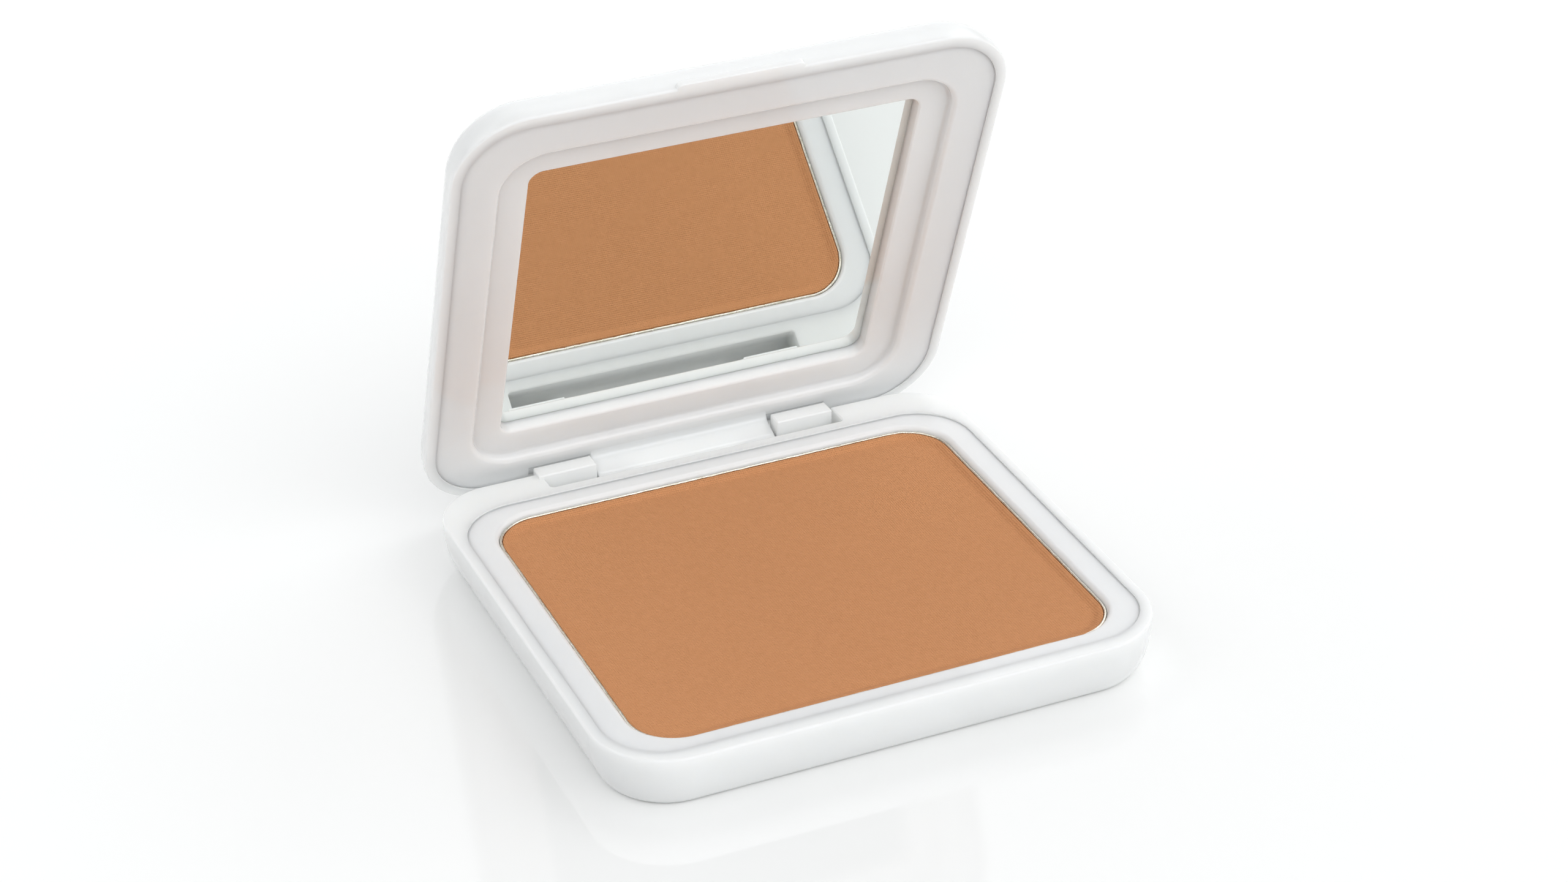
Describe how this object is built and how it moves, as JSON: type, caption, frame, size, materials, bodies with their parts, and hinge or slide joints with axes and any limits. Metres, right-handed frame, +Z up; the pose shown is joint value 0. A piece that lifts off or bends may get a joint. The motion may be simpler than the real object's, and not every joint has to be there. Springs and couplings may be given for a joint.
{
  "type": "powder compact",
  "caption": "Shallow rounded case with a hinged mirror lid, a bezel ring and a tin pan of pressed powder.",
  "frame": {"origin": "on the case's flat underside, in the middle of its width and 34.5 mm behind its front edge", "axes": "+Z up, +Y from the front edge to the hinge, +X to the right seen from the front; the lid stands open 69 degrees from shut"},
  "size_m": [0.075, 0.0766, 0.0714],
  "materials": {
    "base_white": "glossy white moulding",
    "bezel_white": "glossy white moulding",
    "lid_white": "glossy white moulding",
    "frame_white": "glossy white moulding",
    "pan_tin": "bright tinplate",
    "powder_tan": "pressed face powder with a fine cloth imprint",
    "pin_steel": "drawn wire",
    "mirror_silver": "silvered float glass",
    "glue_pad": "double-sided foam tape"
  },
  "bodies": {
    "case": {"base_shell": "base_white", "pan_bezel": "bezel_white", "pan_glue": "glue_pad", "powder_pan": "pan_tin", "pressed_powder": "powder_tan", "hinge_pin_left": "pin_steel", "hinge_pin_right": "pin_steel"},
    "lid": {"lid_shell": "lid_white", "mirror_frame": "frame_white", "mirror_glass": "mirror_silver", "mirror_tape": "glue_pad"}
  },
  "joints": [
    {"name": "lid_hinge", "type": "hinge", "parent": "case", "child": "lid", "pos_m": [0, 0.0345, 0.005], "axis": [-1, 0, 0], "range_deg": [-69, 51]}
  ]
}
